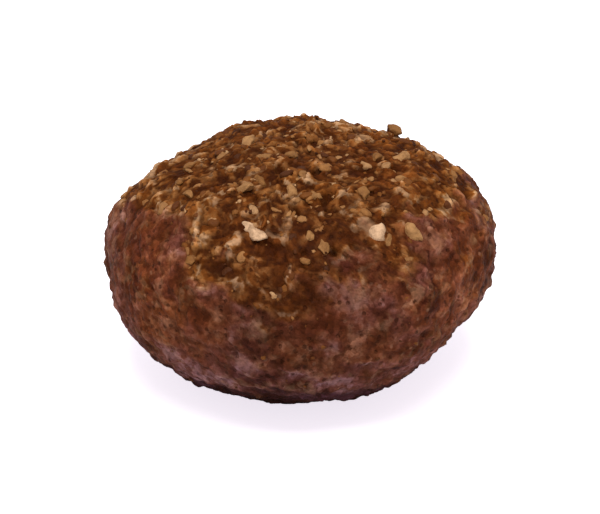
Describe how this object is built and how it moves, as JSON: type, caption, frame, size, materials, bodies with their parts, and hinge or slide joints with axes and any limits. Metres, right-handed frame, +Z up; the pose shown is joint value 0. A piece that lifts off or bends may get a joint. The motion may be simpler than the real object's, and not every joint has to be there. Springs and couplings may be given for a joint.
{
  "type": "dry pet food kibble",
  "caption": "Plump rounded pillow of baked dry pet food, with a crumbly crust and a small flat spot on its belly to rest on.",
  "frame": {"origin": "on the ground, under the middle of the pellet's box, as it lies on its belly", "axes": "+X across the longer side, +Y across the shorter side, away from the camera, and +Z up"},
  "size_m": [0.014, 0.0134, 0.0086],
  "materials": {
    "baked_crust": "matte baked crust of coarse meal, lightly greasy, golden brown on the crumbs and dark in the pits"
  },
  "bodies": {
    "root": {"kibble": "baked_crust"}
  },
  "joints": []
}
